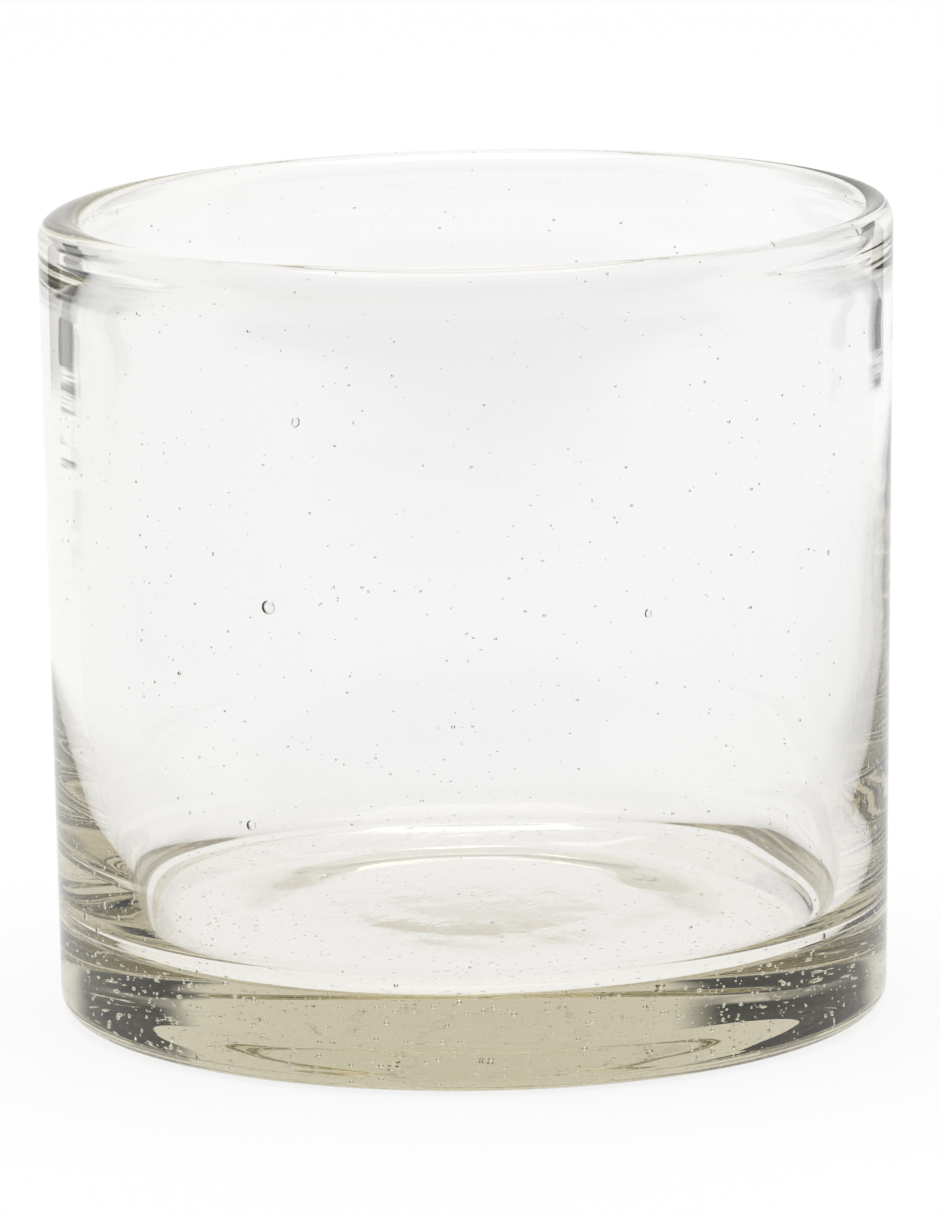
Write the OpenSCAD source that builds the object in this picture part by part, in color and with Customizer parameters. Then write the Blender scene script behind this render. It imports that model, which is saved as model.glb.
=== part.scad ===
// Hand-blown drinking glass: one gather of recycled glass, blown to a short upright tumbler.
// The section is drawn once, on the right of the axis, and turned about +Z.
// Millimetres. The origin is on the axis, on the table that the foot stands on.

/* [Overall] */
// Height from the table to the top of the lip
height = 85.5; // [72:0.5:110]
// Width across the outside of the lip
mouth_d = 90; // [82:0.5:104]
// Width across the foot, where the line of the wall meets the table
foot_d = 88; // [80:0.5:100]

/* [Lip] */
// Thickness of the fire-polished bead round the lip
lip_t = 4.2; // [3.6:0.1:5.4]
// Radius of the hollow by which the bead runs into the inner wall
throat_r = 8; // [3:0.5:10]

/* [Wall] */
// Thickness of the straight wall
wall_t = 2.7; // [2:0.1:3.4]
// Height at which the inner wall starts to come in towards the floor
swell_z = 41; // [26:1:44]
// Radius of the inner curve by which the wall thickens
swell_r = 140; // [60:5:240]

/* [Base] */
// Thickness of the base, from the table to the edge of the floor
base_t = 9; // [6.5:0.5:13]
// Radius of the corner between the floor and the wall
corner_r = 5; // [3:0.5:7]
// Width of the low rise in the middle of the floor
kick_d = 54; // [36:1:58]
// Height of that rise
kick_h = 1.2; // [0.5:0.1:2]

/* [Foot] */
// Radius of the heel, where the wall turns under
heel_r = 2.4; // [2:0.1:4.5]
// Width of the hollow under the foot
punt_d = 62; // [52:1:66]
// Depth of that hollow
punt_h = 1.6; // [1.3:0.1:3]
// Width of the pontil mark, the ring left where the glass was cracked off the iron
pontil_d = 22; // [16:1:25]
// Thickness of that ring
pontil_t = 1; // [0.6:0.1:1.2]

/* [Bubbles] */
// How many round bubbles are caught in the base
base_bubbles = 32; // [0:1:60]
// How many are caught in the wall
wall_bubbles = 24; // [0:1:60]
// Width of the largest of them
bubble_d = 1.4; // [0.8:0.1:1.5]

/* [Hidden] */

$fn = 180;
bubble_sides = 24;
overrun = 1;
// Share of an arc's radius at which what touches it ends, so that the two cross and leave no sliver
tuck_share = 0.9999;

// The bead of the lip is a round rod, and the line of the wall touches its outside
lip_r = lip_t / 2;
lip_c = [mouth_d / 2 - lip_r, height - lip_r];
foot_edge = [foot_d / 2, 0];
lean = atan2(lip_c.x - foot_edge.x, lip_c.y) + asin(lip_r / norm(lip_c - foot_edge));
// Up the wall, and squarely out of it
up = [sin(lean), cos(lean)];
out = [cos(lean), -sin(lean)];
lip_touch = lip_c + tuck_share * lip_r * out;

// The heel touches the table and the line of the wall
heel_c = [foot_edge.x + heel_r * (tan(lean) - 1 / cos(lean)), heel_r];
heel_touch = heel_c + tuck_share * heel_r * out;

// The inner wall runs alongside the outer one
function inner_wall(z) = [foot_edge.x - wall_t / cos(lean) + z * tan(lean), z];

// The hollow under the bead touches both the bead and the inner wall
throat_in = wall_t + throat_r - lip_r;
throat_drop = sqrt(pow(tuck_share * (lip_r + throat_r), 2) - pow(throat_in, 2));
throat_c = lip_c - throat_in * out - throat_drop * up;
throat_end = throat_c + tuck_share * throat_r * out;

// The swell leaves the inner wall smoothly, and the corner touches the swell and the floor
swell_c = inner_wall(swell_z) - swell_r * out;
swell_start = swell_c + tuck_share * swell_r * out;
corner_z = base_t + corner_r;
corner_x = swell_c.x + sqrt(pow(swell_r - tuck_share * corner_r, 2) - pow(swell_c.y - corner_z, 2));
corner_c = [corner_x, corner_z];
corner_out = (corner_c - swell_c) / norm(corner_c - swell_c);
swell_end = swell_c + swell_r * corner_out;
mid_wall = (swell_start + throat_end) / 2;

// Bubbles are spread by the golden section: a turn for each one, and a step across the glass
golden_turn = 137.5;
golden_share = 0.618;
bubble_shares = [1, 0.5, 0.75, 0.6, 0.9];
bubble_reach = heel_c.x - bubble_d;
bubble_low = punt_h + bubble_d;
bubble_high = base_t - bubble_d;
bubble_foot = corner_z + bubble_d;
bubble_top = throat_end.y - bubble_d;

function bubble_w(i) = bubble_d * bubble_shares[i % len(bubble_shares)];
function golden_step(i) = i * golden_share - floor(i * golden_share);

// One bend's radius, for a mound that is a crown and a skirt of the same radius
function mound_bend(run, rise) = (run * run + rise * rise) / (4 * rise);

// Height of the mound's crown at a distance from its middle
function crown_z(run, rise, x) =
    let (bend = mound_bend(run, rise))
    rise - bend + sqrt(bend * bend - x * x);

// Half section of a low round mound, with a plinth under it for clean cuts
module mound(run, rise) {
    bend = mound_bend(run, rise);
    skirt_bend = mound_bend(run, rise - 2 * (1 - tuck_share) * bend);
    intersection() {
        translate([0, rise - bend]) circle(bend);
        translate([0, -overrun]) square([run, rise + overrun]);
    }
    difference() {
        translate([run / 2, -overrun]) square([run / 2, rise / 2 + overrun]);
        translate([run, skirt_bend]) circle(skirt_bend);
    }
}

// The glass as if it were solid: heel, wall and bead
module outside_section() {
    polygon([[0, 0], [heel_c.x, 0], heel_c, heel_touch, lip_touch, lip_c, [0, lip_c.y]]);
    translate(heel_c) circle(heel_r);
    translate(lip_c) circle(lip_r);
}

// The space for the drink: mouth, throat, straight wall, swell, corner and raised floor
module inside_section() {
    mouth_z = height + overrun;
    difference() {
        union() {
            polygon([
                [0, base_t], [corner_c.x, base_t], corner_c, swell_end, swell_start,
                throat_end, throat_c, lip_c, [lip_c.x, mouth_z], [0, mouth_z]
            ]);
            translate(throat_c) circle(throat_r);
            translate(corner_c) circle(corner_r);
            intersection() {
                translate(swell_c) circle(swell_r);
                polygon([
                    mid_wall - wall_t * out, mid_wall + wall_t * out,
                    swell_end + wall_t * corner_out, swell_end - wall_t * corner_out
                ]);
            }
        }
        translate(lip_c) circle(lip_r);
        translate([0, base_t]) mound(kick_d / 2, kick_h);
    }
}

// The ring of glass left in the hollow of the foot
module pontil_section() {
    ring_x = (pontil_d - pontil_t) / 2;
    translate([ring_x, crown_z(punt_d / 2, punt_h, ring_x)]) circle(pontil_t / 2);
}

module glass_section() {
    difference() {
        outside_section();
        inside_section();
        mound(punt_d / 2, punt_h);
    }
    pontil_section();
}

// Round bubbles through the thickness of the base
module base_bubble_set() {
    for (i = [0:1:base_bubbles - 1]) {
        reach = bubble_reach * sqrt((i + 0.5) / base_bubbles);
        level = bubble_low + (bubble_high - bubble_low) * golden_step(i);
        rotate(i * golden_turn) translate([reach, 0, level]) sphere(d = bubble_w(i), $fn = bubble_sides);
    }
}

// Round bubbles in the middle of the wall, climbing towards the lip
module wall_bubble_set() {
    for (i = [0:1:wall_bubbles - 1]) {
        level = bubble_foot + (bubble_top - bubble_foot) * (i + 0.5) / wall_bubbles;
        middle = inner_wall(level) + wall_t / 2 * out;
        rotate(i * golden_turn) translate([middle.x, 0, middle.y]) sphere(d = bubble_w(i), $fn = bubble_sides);
    }
}

module tumbler() {
    color([0.80, 0.83, 0.76, 0.5]) difference() {
        rotate_extrude() glass_section();
        base_bubble_set();
        wall_bubble_set();
    }
}

tumbler();
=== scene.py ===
import math
import random

import bpy
from mathutils import Matrix, Quaternion, Vector, noise
from mathutils.bvhtree import BVHTree


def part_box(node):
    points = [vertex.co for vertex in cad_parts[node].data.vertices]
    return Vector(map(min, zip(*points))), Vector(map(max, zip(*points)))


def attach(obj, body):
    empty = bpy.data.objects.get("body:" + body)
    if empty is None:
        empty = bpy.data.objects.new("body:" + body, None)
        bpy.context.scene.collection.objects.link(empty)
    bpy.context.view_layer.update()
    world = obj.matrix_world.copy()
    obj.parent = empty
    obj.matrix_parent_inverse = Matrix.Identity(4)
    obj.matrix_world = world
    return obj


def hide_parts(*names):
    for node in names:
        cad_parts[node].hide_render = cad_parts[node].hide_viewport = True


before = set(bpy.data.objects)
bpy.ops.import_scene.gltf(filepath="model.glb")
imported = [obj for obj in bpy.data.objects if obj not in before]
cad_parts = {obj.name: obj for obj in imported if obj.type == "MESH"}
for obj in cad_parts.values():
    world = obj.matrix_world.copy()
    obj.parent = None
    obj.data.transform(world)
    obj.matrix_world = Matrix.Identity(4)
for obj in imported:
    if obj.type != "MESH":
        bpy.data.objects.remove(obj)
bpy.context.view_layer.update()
bpy.ops.object.select_all(action="DESELECT")


# The tumbler: one gather of recycled glass, blown, sheared and fire-polished at the lip, and cracked
# off its iron at the foot. It is drawn as half a section, spun about its axis, then pushed off true
# in the places where the blower's hand left it so.
MM = 0.001
foot_low, lip_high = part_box("tumbler")
HEIGHT = lip_high.z
MOUTH_R = lip_high.x
FOOT_R = 44 * MM
LIP_R = 2.1 * MM
THROAT_R = 20 * MM
WALL = 2.7 * MM
SWELL_Z = 39 * MM
SWELL_R = 140 * MM
BASE = 9 * MM
CORNER_R = 5 * MM
KICK_R = 27 * MM
KICK_RISE = 1.2 * MM
HEEL_R = 2.4 * MM
PUNT_R = 30 * MM
PUNT_FLAT_R = 17 * MM
PUNT_RISE = 0.8 * MM
SIDES = 104
CAVITY_SHIFT = 0.7 * MM
SWELL_SHIFT = 0.95 * MM
SWELL_SHIFT_RISE = (BASE, 0.28 * HEIGHT)
SWELL_SHIFT_FALL = 0.43 * HEIGHT
SWELL_SHIFT_TOP = 0.78 * HEIGHT
LEFT_SHARE = 0.4
TILT = 0.011
RIPPLE = 0.024 * MM
RIPPLE_LENGTH = 14 * MM
RIPPLE_PITCH = 1.8 * MM
RIPPLE_RISE = (0.35 * HEIGHT, 0.8 * HEIGHT)
SWIRL = 0.07 * MM
SWIRL_PITCH = 4 * MM
SWIRL_BENDS = 0.8
SWIRL_NEAR_R = 8 * MM
SWIRL_FAR_R = 33 * MM
SCAR_R = 19 * MM
SCAR = 0.03 * MM
SCAR_GRAIN = 3.5 * MM
CHIP = 0.06 * MM
CHIP_GRAIN = 7 * MM
RIM_SHARE = 0.3


def arc(centre, radius, start, end, steps):
    """Points along an arc, its angles in degrees from +X."""
    turns = [math.radians(start + (end - start) * i / steps) for i in range(steps + 1)]
    return [(centre[0] + radius * math.cos(t), centre[1] + radius * math.sin(t)) for t in turns]


def line(start, end, steps):
    """Points along a straight line, without its two ends."""
    return [(start[0] + (end[0] - start[0]) * i / steps, start[1] + (end[1] - start[1]) * i / steps)
            for i in range(1, steps)]


def mound(flat, run, rise, steps):
    """A low round mound, from its middle to its foot: a flat top, and sides that fall as a smooth S."""
    top = [(flat * i / steps, rise) for i in range(steps)] if flat else []
    return top + [(flat + (run - flat) * i / steps, rise * (1 + math.cos(math.pi * i / steps)) / 2)
                  for i in range(steps + 1)]


def tumbler_section():
    """Half the section, from the middle of the foot up the wall, over the lip and down to the floor."""
    lip_c = Vector((MOUTH_R - LIP_R, HEIGHT - LIP_R))
    reach = lip_c - Vector((FOOT_R, 0))
    lean = math.atan2(reach.x, reach.y) + math.asin(LIP_R / reach.length)
    out = Vector((math.cos(lean), -math.sin(lean)))
    up = Vector((math.sin(lean), math.cos(lean)))
    lean_deg = math.degrees(lean)
    heel_c = Vector((FOOT_R + HEEL_R * (math.tan(lean) - 1 / math.cos(lean)), HEEL_R))
    throat_in = WALL + THROAT_R - LIP_R
    throat_drop = math.sqrt((LIP_R + THROAT_R) ** 2 - throat_in ** 2)
    throat_c = lip_c - throat_in * out - throat_drop * up
    swell_start = Vector((FOOT_R - WALL / math.cos(lean) + SWELL_Z * math.tan(lean), SWELL_Z))
    swell_c = swell_start - SWELL_R * out
    corner_z = BASE + CORNER_R
    corner_x = swell_c.x + math.sqrt((SWELL_R - CORNER_R) ** 2 - (swell_c.y - corner_z) ** 2)
    corner_turn = math.degrees(math.atan2(corner_z - swell_c.y, corner_x - swell_c.x))
    throat_turn = math.degrees(math.atan2(lip_c.y - throat_c.y, lip_c.x - throat_c.x))

    under = mound(PUNT_FLAT_R, PUNT_R, PUNT_RISE, 9)
    heel = arc(heel_c, HEEL_R, -90, -lean_deg, 7)
    bead = arc(lip_c, LIP_R, -lean_deg, 180 + throat_turn, 14)
    throat = arc(throat_c, THROAT_R, throat_turn, -lean_deg, 9)
    swell = arc(swell_c, SWELL_R, -lean_deg, corner_turn, 14)
    corner = arc((corner_x, corner_z), CORNER_R, corner_turn, -90, 8)
    floor = [(r, BASE + z) for r, z in reversed(mound(0, KICK_R, KICK_RISE, 16))]
    return (under + line(under[-1], heel[0], 6) + heel + line(heel[-1], bead[0], 36) + bead
            + throat[1:] + line(throat[-1], swell[0], 17) + swell + corner[1:]
            + line(corner[-1], floor[0], 5) + floor)


bpy.ops.mesh.primitive_plane_add(size=MM)
tumbler = bpy.context.object
tumbler.name = "tumbler_glass"
bpy.ops.object.mode_set(mode="EDIT")
bpy.ops.mesh.merge(type="CENTER")
section = tumbler_section()
bpy.ops.transform.translate(value=(section[0][0], 0, section[0][1]))
for here, there in zip(section, section[1:]):
    bpy.ops.mesh.extrude_region_move(
        TRANSFORM_OT_translate={"value": (there[0] - here[0], 0, there[1] - here[1])})
bpy.ops.mesh.select_all(action="SELECT")
bpy.ops.mesh.spin(steps=SIDES, angle=math.tau, center=(0, 0, 0), axis=(0, 0, 1))
bpy.ops.mesh.select_all(action="SELECT")
bpy.ops.mesh.remove_doubles(threshold=0.01 * MM)
bpy.ops.mesh.normals_make_consistent(inside=False)
bpy.ops.object.mode_set(mode="OBJECT")
bpy.ops.object.shade_smooth()
smooth = tumbler.modifiers.new("Smooth", "SUBSURF")
smooth.levels = smooth.render_levels = 1
bpy.ops.object.modifier_apply(modifier=smooth.name)


def ease(value, low, high):
    """0 below low, 1 above high, and a smooth S between them."""
    share = min(1, max(0, (value - low) / (high - low)))
    return share * share * (3 - 2 * share)


def inwardness(place):
    """0 on the outside and under the foot, 1 on the inside, and a smooth change over the top of the bead."""
    outside = FOOT_R + (MOUTH_R - FOOT_R) * place.z / HEIGHT
    middle = outside - WALL / 2
    around = ease(middle - math.hypot(place.x, place.y), -WALL / 2, WALL / 2)
    return around * ease(place.z, 0.4 * BASE, 0.6 * BASE)


# In turn: faint rings inside the upper wall, swirls on the floor, the torn middle and the chipped rim of
# the pontil mark, the lip higher at the right, and the hollow off its axis. Low down the hollow comes back
# towards the left, so that the right wall thickens first.
for vertex in tumbler.data.vertices:
    place = vertex.co.copy()
    inner = inwardness(place)
    reach = Vector((place.x, place.y, 0))
    outwards = reach.normalized()
    run = reach.length

    ring = noise.noise(reach / RIPPLE_LENGTH + Vector((0, 0, place.z / RIPPLE_PITCH)))
    high = ease(place.z, *RIPPLE_RISE) * ease(HEIGHT - place.z, LIP_R, 4 * LIP_R)
    vertex.co += outwards * RIPPLE * ring * inner * high

    swirl = noise.noise(outwards * SWIRL_BENDS + Vector((0, 0, run / SWIRL_PITCH)))
    on_floor = inner * ease(BASE + CORNER_R - place.z, 0, CORNER_R / 2)
    on_floor *= ease(run, SWIRL_NEAR_R, 2 * SWIRL_NEAR_R) * ease(SWIRL_FAR_R - run, 0, SWIRL_NEAR_R)
    vertex.co.z += SWIRL * swirl * on_floor

    under = (1 - inner) * ease(BASE - place.z, 0.4 * BASE, 0.7 * BASE)
    scar = under * ease(SCAR_R - run, 0, RIM_SHARE * SCAR_R)
    vertex.co.z += SCAR * (1 + noise.turbulence(place / SCAR_GRAIN, 2, False)) * scar
    rim = ease(run, (1 - RIM_SHARE) * PUNT_FLAT_R, PUNT_FLAT_R) * ease(PUNT_R - run, 0, RIM_SHARE * PUNT_R)
    vertex.co.z += CHIP * noise.noise(place / CHIP_GRAIN) * rim * under

    vertex.co.z += TILT * place.x * max(inner, place.z / HEIGHT)
    low = ease(place.z, *SWELL_SHIFT_RISE) * ease(SWELL_SHIFT_TOP - place.z, 0, SWELL_SHIFT_FALL)
    low *= LEFT_SHARE + (1 - LEFT_SHARE) * ease(place.x, -FOOT_R / 2, FOOT_R / 2)
    vertex.co.x += (CAVITY_SHIFT - SWELL_SHIFT * low) * inner


# The seeds: the air that recycled glass holds, in fine bubbles through the wall and the base. Each is a
# hollow ball with its faces turned inwards, so that the glass ends at it as at its outside.
WALL_SEEDS = 1000
BASE_SEEDS = 1700
WALL_WIDTHS = (0.12 * MM, 0.36 * MM)
BASE_WIDTHS = (0.16 * MM, 0.55 * MM)
# Widths from which a bubble has more faces
FINER = (0.55 * MM, 1.1 * MM)
# Powers that make most bubbles small, few of them long, and more of them near the foot's edge
SMALL_POWER = 3
LONG_POWER = 4
EDGE_POWER = 0.4
LONGEST = 0.5
# The least glass left round a bubble
SKIN = 0.12 * MM
# The few large ones: width, turn about the axis in degrees, and height as a share of the glass's
BLISTERS = [
    (1.5 * MM, -118.0, 0.585), (1.1 * MM, -121.5, 0.316), (0.8 * MM, -32, 0.135), (0.9 * MM, -160, 0.15),
    (0.8 * MM, -156, 0.14), (0.7 * MM, -125, 0.06), (0.6 * MM, -122, 0.045), (0.7 * MM, -10, 0.30),
    (0.6 * MM, -14, 0.24), (0.9 * MM, 62, 0.40), (1.1 * MM, 118, 0.66), (0.7 * MM, 20, 0.52),
]
BLISTER_DEPTH = 0.35

bpy.ops.object.select_all(action="DESELECT")
seed_kinds = []
for divisions in range(1, len(FINER) + 2):
    bpy.ops.mesh.primitive_ico_sphere_add(subdivisions=divisions, radius=1, location=(0, 0, 0))
    kind = bpy.context.object
    bpy.ops.object.mode_set(mode="EDIT")
    bpy.ops.mesh.select_all(action="SELECT")
    bpy.ops.mesh.flip_normals()
    bpy.ops.object.mode_set(mode="OBJECT")
    bpy.ops.object.shade_smooth()
    seed_kinds.append(kind.data)
    bpy.data.objects.remove(kind)

tree = BVHTree.FromPolygons([v.co for v in tumbler.data.vertices], [p.vertices for p in tumbler.data.polygons])
chance = random.Random(11)
seeds = []


def through_glass(start, direction):
    """Where a line goes into the glass and where it comes out again, or None."""
    into = tree.ray_cast(start, direction)[0]
    if into is None:
        return None
    out = tree.ray_cast(into + direction * SKIN, direction)[0]
    return None if out is None else (into, out)


def add_seed(place, width, stretch, turn, depth=1.0):
    """One bubble, drawn out along the way that the glass was turned."""
    mesh = seed_kinds[sum(width >= least for least in FINER)].copy()
    half = width / 2
    mesh.transform(Matrix.LocRotScale(place, Quaternion((0, 0, 1), turn), (half * depth, half * stretch, half)))
    seed = bpy.data.objects.new("seed", mesh)
    bpy.context.collection.objects.link(seed)
    seeds.append(seed)


def scatter(count, aim, widths):
    """Bubbles at chance places, each wholly inside the glass. Aim gives a line through the glass."""
    for _ in range(count):
        turn = chance.uniform(0, math.tau)
        start, direction = aim(turn)
        width = widths[0] + (widths[1] - widths[0]) * chance.random() ** SMALL_POWER
        share = chance.random()
        stretch = 1 + LONGEST * chance.random() ** LONG_POWER
        ends = through_glass(start, direction)
        if ends is None:
            continue
        into, out = ends
        room = (out - into).length - width - 2 * SKIN
        if room > 0:
            add_seed(into + direction * (SKIN + width / 2 + room * share), width, stretch, turn)


def across_wall(turn):
    outwards = Vector((math.cos(turn), math.sin(turn), 0))
    return outwards * 2 * MOUTH_R + Vector((0, 0, chance.uniform(BASE, HEIGHT))), -outwards


def up_base(turn):
    reach = (FOOT_R - HEEL_R) * chance.random() ** EDGE_POWER
    return Vector((reach * math.cos(turn), reach * math.sin(turn), -HEIGHT)), Vector((0, 0, 1))


scatter(WALL_SEEDS, across_wall, WALL_WIDTHS)
scatter(BASE_SEEDS, up_base, BASE_WIDTHS)
for width, turn_deg, level in BLISTERS:
    turn = math.radians(turn_deg)
    outwards = Vector((math.cos(turn), math.sin(turn), 0))
    into, out = through_glass(outwards * 2 * MOUTH_R + Vector((0, 0, level * HEIGHT)), -outwards)
    add_seed((into + out) / 2, width, 1, turn, BLISTER_DEPTH)

for seed in seeds:
    seed.select_set(True)
bpy.context.view_layer.objects.active = tumbler
tumbler.select_set(True)
bpy.ops.object.join()
bpy.ops.object.select_all(action="DESELECT")


class Socket:
    """One output of a shader node. Sums on it add the Math nodes that work them out."""

    def __init__(self, output):
        self.output = output

    def maths(self, operation, *values):
        return add_node(self.output.id_data, "ShaderNodeMath", values, operation=operation)

    def __add__(self, other):
        return self.maths("ADD", self, other)

    def __radd__(self, other):
        return self.maths("ADD", other, self)

    def __sub__(self, other):
        return self.maths("SUBTRACT", self, other)

    def __rsub__(self, other):
        return self.maths("SUBTRACT", other, self)

    def __mul__(self, other):
        return self.maths("MULTIPLY", self, other)

    def __rmul__(self, other):
        return self.maths("MULTIPLY", other, self)

    def __truediv__(self, other):
        return self.maths("DIVIDE", self, other)

    def __abs__(self):
        return self.maths("ABSOLUTE", self)


def add_node(node_tree, kind, values=(), take=0, **settings):
    """Adds any node: its settings first, then its inputs by place or by name."""
    node = node_tree.nodes.new(kind)
    for name, setting in settings.items():
        setattr(node, name, setting)
    for key, value in values.items() if isinstance(values, dict) else enumerate(values):
        if isinstance(value, Socket):
            node_tree.links.new(value.output, node.inputs[key])
        else:
            node.inputs[key].default_value = value
    return Socket(node.outputs[take])


def ramp(value, low, high, start=0.0, end=1.0):
    """A smooth change from start to end as a value goes from low to high."""
    return add_node(value.output.id_data, "ShaderNodeMapRange", (value, low, high, start, end),
                    interpolation_type="SMOOTHSTEP")


def fade(value, low, high):
    """A smooth change from 1 to 0 as a value goes from low to high."""
    return ramp(value, low, high, 1.0, 0.0)


# Clear glass with the green-brown cast of recycled bottles, faint drawn marks round the wall, and a
# frosted grain where it was cracked off the iron.
MARK_DEPTH = 0.006 * MM
GRAIN_DEPTH = 0.05 * MM
GRAIN_ROUGH = 0.1
MARK_SCALE = (60, 60, 640)
GRAIN_SCALE = 320
SURFACE_TINT = (0.973, 0.973, 0.985, 1)
BODY_TINT = (0.69, 0.645, 0.45, 1)
BODY_DENSITY = 20
glass = bpy.data.materials.new("bubble_glass")
glass.use_nodes = True
glass_tree = glass.node_tree
shader = glass_tree.nodes["Principled BSDF"]
shader.inputs["Base Color"].default_value = SURFACE_TINT
shader.inputs["Transmission Weight"].default_value = 1
shader.inputs["IOR"].default_value = 1.5
spot = add_node(glass_tree, "ShaderNodeTexCoord", take="Object")
up = add_node(glass_tree, "ShaderNodeSeparateXYZ", (spot,), take="Z")
reach = add_node(glass_tree, "ShaderNodeVectorMath", (spot, (1, 1, 0)), operation="MULTIPLY")
reach = add_node(glass_tree, "ShaderNodeVectorMath", (reach,), take="Value", operation="LENGTH")
drawn = add_node(glass_tree, "ShaderNodeMapping", {"Vector": spot, "Scale": MARK_SCALE})
marks = add_node(glass_tree, "ShaderNodeTexNoise", {"Vector": drawn, "Scale": 1.0, "Detail": 2.0})
grain = add_node(glass_tree, "ShaderNodeTexNoise", {"Vector": spot, "Scale": GRAIN_SCALE, "Detail": 4.0})
drawn_most = ramp(up, 0.4 * HEIGHT, 0.8 * HEIGHT, 0.06, 1.0)
cracked = fade(up, 0.02 * HEIGHT, 0.03 * HEIGHT) * fade(reach, 0.5 * SCAR_R, 0.9 * SCAR_R)
relief = MARK_DEPTH * marks * drawn_most + GRAIN_DEPTH * grain * cracked
bump = add_node(glass_tree, "ShaderNodeBump", {"Height": relief, "Distance": 1.0, "Strength": 1.0})
glass_tree.links.new(bump.output, shader.inputs["Normal"])
rough = cracked * ramp(grain, 0.4, 0.65, 0.0, GRAIN_ROUGH)
glass_tree.links.new(rough.output, shader.inputs["Roughness"])
body = add_node(glass_tree, "ShaderNodeVolumeAbsorption", {"Color": BODY_TINT, "Density": BODY_DENSITY})
glass_tree.links.new(body.output, glass_tree.nodes["Material Output"].inputs["Volume"])
tumbler.data.materials.clear()
tumbler.data.materials.append(glass)
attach(tumbler, "root")
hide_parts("tumbler")


# The stage: a plain pale table in a white studio, with dim corners behind and a dim front. Only what is
# seen in the glass meets them: the camera sees a white table and a white wall. Between each corner and
# the middle a narrow grey band runs out over the table and a little way up. On the table, the band, the
# darker front and a shadow of the glass behind it at the right are painted shade, seen only in the glass.
CORNER_DIM = 0.04
BAND_DIM = 0.25
SKY_BAND_DIM = 0.5
GLASS_SHADOW_DIM = 0.85
FRONT = 0.5
# Sideways over backwards, for the table's band and the glass's painted shadow
BAND_SLOPES = (0.6, 0.9)
GLASS_SHADOW_SLOPE = 0.66
# Distances from the glass at which they start and end, in metres
BAND_START = (0.4, 0.44)
GLASS_SHADOW_START = (0.07, 0.1)
GLASS_SHADOW_END = (0.2, 0.28)
TABLE_FRONT = (-0.45, -0.25)
GLOW = 0.8
bpy.ops.mesh.primitive_plane_add(size=8, location=(0, 0, -0.1 * MM))
table = bpy.context.object
table.name = "table"
white = bpy.data.materials.new("table_white")
white.use_nodes = True
table_tree = white.node_tree
table_tree.nodes.clear()
light_path = "ShaderNodeLightPath"
seen = add_node(table_tree, light_path, take="Is Camera Ray")
in_glass = (add_node(table_tree, light_path, take="Is Transmission Ray")
            + add_node(table_tree, light_path, take="Is Glossy Ray"))
spot = add_node(table_tree, "ShaderNodeTexCoord", take="Object")
spread = add_node(table_tree, "ShaderNodeVectorMath", (spot,), take="Value", operation="LENGTH")
across = add_node(table_tree, "ShaderNodeSeparateXYZ", (spot,), take="X")
along = add_node(table_tree, "ShaderNodeSeparateXYZ", (spot,), take="Y")
behind = ramp(along, 0.0, 0.03)
# The glass's own shadow, painted on the table behind it at the right and seen only in the glass
glass_shadow = ramp(across - GLASS_SHADOW_SLOPE * along, 0.0, 0.03) * behind
glass_shadow = glass_shadow * ramp(spread, *GLASS_SHADOW_START) * fade(spread, *GLASS_SHADOW_END)
# A band of painted shade on the table between each corner and the middle, seen only in the glass
band = ramp(abs(across) - BAND_SLOPES[0] * along, 0.0, 0.02)
band = band * fade(abs(across) - BAND_SLOPES[1] * along, 0.0, 0.04)
band = band * behind * ramp(spread, *BAND_START)
# Painted shade: the table darker towards the front, seen only in the glass
near = ramp(along, *TABLE_FRONT, FRONT, 1.0)
level = (1.0 - (1.0 - GLASS_SHADOW_DIM) * glass_shadow) * (1.0 - (1.0 - BAND_DIM) * band) * near
level = level.maths("MAXIMUM", level, 1.0 - in_glass)
paint = add_node(table_tree, "ShaderNodeCombineColor", (level, level, level))
dull = add_node(table_tree, "ShaderNodeBsdfDiffuse", {"Color": paint})
glow = add_node(table_tree, "ShaderNodeEmission", {"Color": paint, "Strength": 1.0})
share = GLOW * (seen + in_glass)
surface = add_node(table_tree, "ShaderNodeMixShader", (share, dull, glow))
output = table_tree.nodes.new("ShaderNodeOutputMaterial")
table_tree.links.new(surface.output, output.inputs["Surface"])
table.data.materials.append(white)

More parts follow.
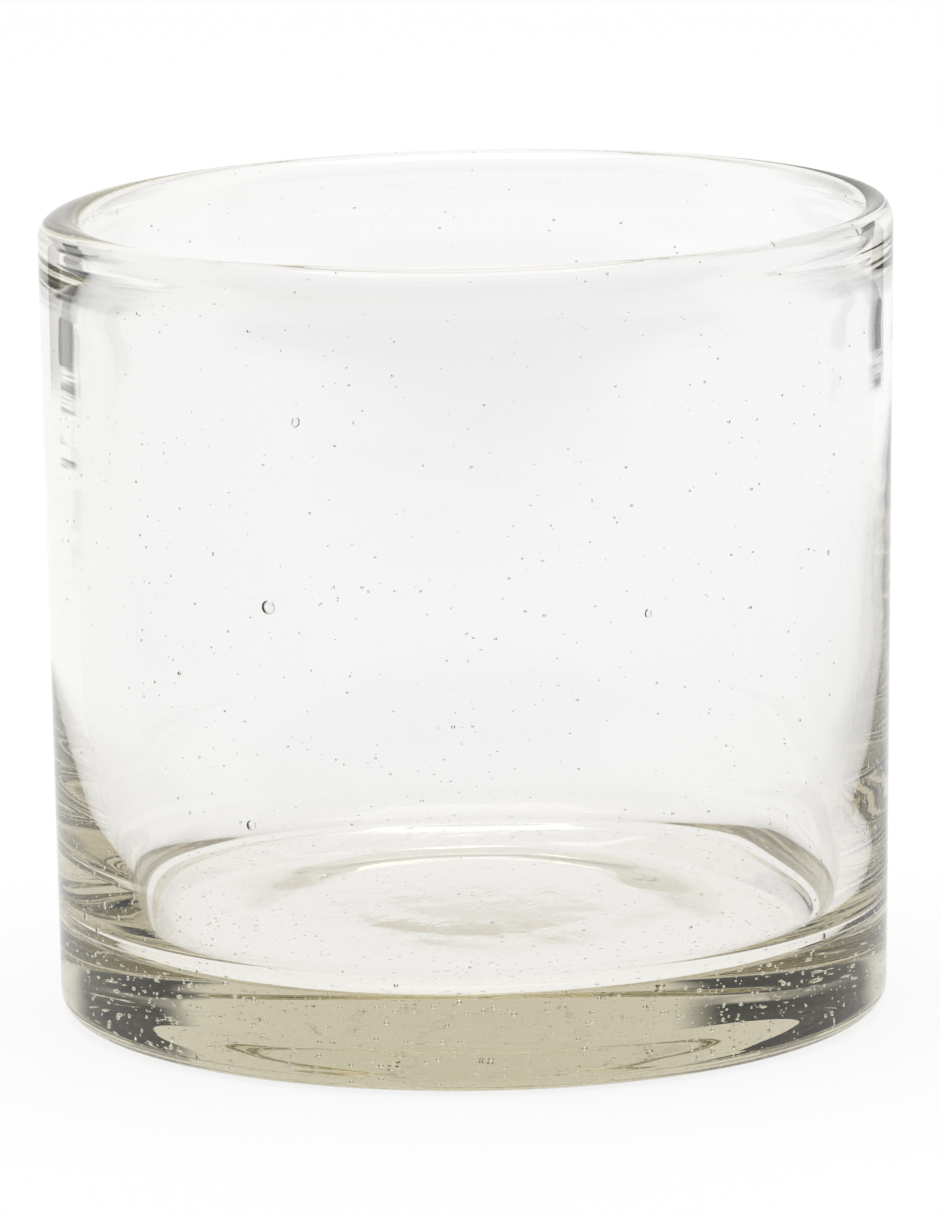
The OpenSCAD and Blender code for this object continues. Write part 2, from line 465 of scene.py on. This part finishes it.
# The studio's walls, by direction: sideways, backwards and upwards, each as a share of the whole
CORNER_MIDDLE = 0.08
CORNER_NEAR = (0.4, 0.52)
CORNER_FAR = (0.86, 0.96)
CORNER_FOOT = (0.11, 0.2)
CORNER_TOP = (0.46, 0.6)
BAND_NEAR = (0.51, 0.53)
BAND_FAR = (0.67, 0.7)
BAND_TOP = (0.12, 0.2)
FRONT_SIDE = (-0.35, -0.15)
FRONT_TOP = (0.6, 0.8)
world = bpy.data.worlds.new("studio")
bpy.context.scene.world = world
world.use_nodes = True
sky = world.node_tree
heading = add_node(sky, "ShaderNodeTexCoord", take="Generated")
east = add_node(sky, "ShaderNodeSeparateXYZ", (heading,), take="X")
north = add_node(sky, "ShaderNodeSeparateXYZ", (heading,), take="Y")
height = add_node(sky, "ShaderNodeSeparateXYZ", (heading,), take="Z")
flat = east * east + north * north
flat = flat.maths("SQRT", flat)
aside = east / flat
behind = ramp(north, -0.05, 0.05)
dim = ramp(abs(aside - CORNER_MIDDLE), *CORNER_NEAR) * fade(abs(aside), *CORNER_FAR) * behind
dim = dim * ramp(height, *CORNER_FOOT) * fade(height, *CORNER_TOP)
band = ramp(abs(aside), *BAND_NEAR) * fade(abs(aside), *BAND_FAR) * behind * fade(height, *BAND_TOP)
front = 1.0 - (1.0 - FRONT) * fade(north, *FRONT_SIDE) * fade(height, *FRONT_TOP)
level = (1.0 - (1.0 - CORNER_DIM) * dim) * (1.0 - (1.0 - SKY_BAND_DIM) * band) * front
level = level.maths("MAXIMUM", level, add_node(sky, light_path, take="Is Camera Ray"))
paint = add_node(sky, "ShaderNodeCombineColor", (level, level, level))
sky.links.new(paint.output, sky.nodes["Background"].inputs["Color"])
sky.nodes["Background"].inputs["Strength"].default_value = 1


# A large soft light overhead
bpy.ops.object.light_add(type="AREA", location=(0, 0, 1.6))
softbox = bpy.context.object
softbox.data.size = 1.2
softbox.data.energy = 6


# The camera stands a metre off behind a long lens, looks down on the glass, and leans a little.
LOOK_DOWN = math.radians(10.65)
STAND_OFF = 1.001
LEAN = math.radians(0.66)
LENS = 280.1
MOST_BOUNCES = 32
aim = Vector((0.03 * MM, 0, HEIGHT / 2 - 0.23 * MM))
back = Vector((0, -math.cos(LOOK_DOWN), math.sin(LOOK_DOWN)))
bpy.ops.object.camera_add(location=aim + back * STAND_OFF)
camera = bpy.context.object
camera.rotation_mode = "QUATERNION"
camera.rotation_quaternion = (-back).to_track_quat("-Z", "Y") @ Quaternion((0, 0, 1), -LEAN)
camera.data.lens = LENS
camera.data.clip_end = 20
bpy.context.scene.camera = camera
bpy.context.scene.view_settings.view_transform = "Standard"
light_paths = bpy.context.scene.cycles
light_paths.max_bounces = light_paths.glossy_bounces = light_paths.transmission_bounces = MOST_BOUNCES
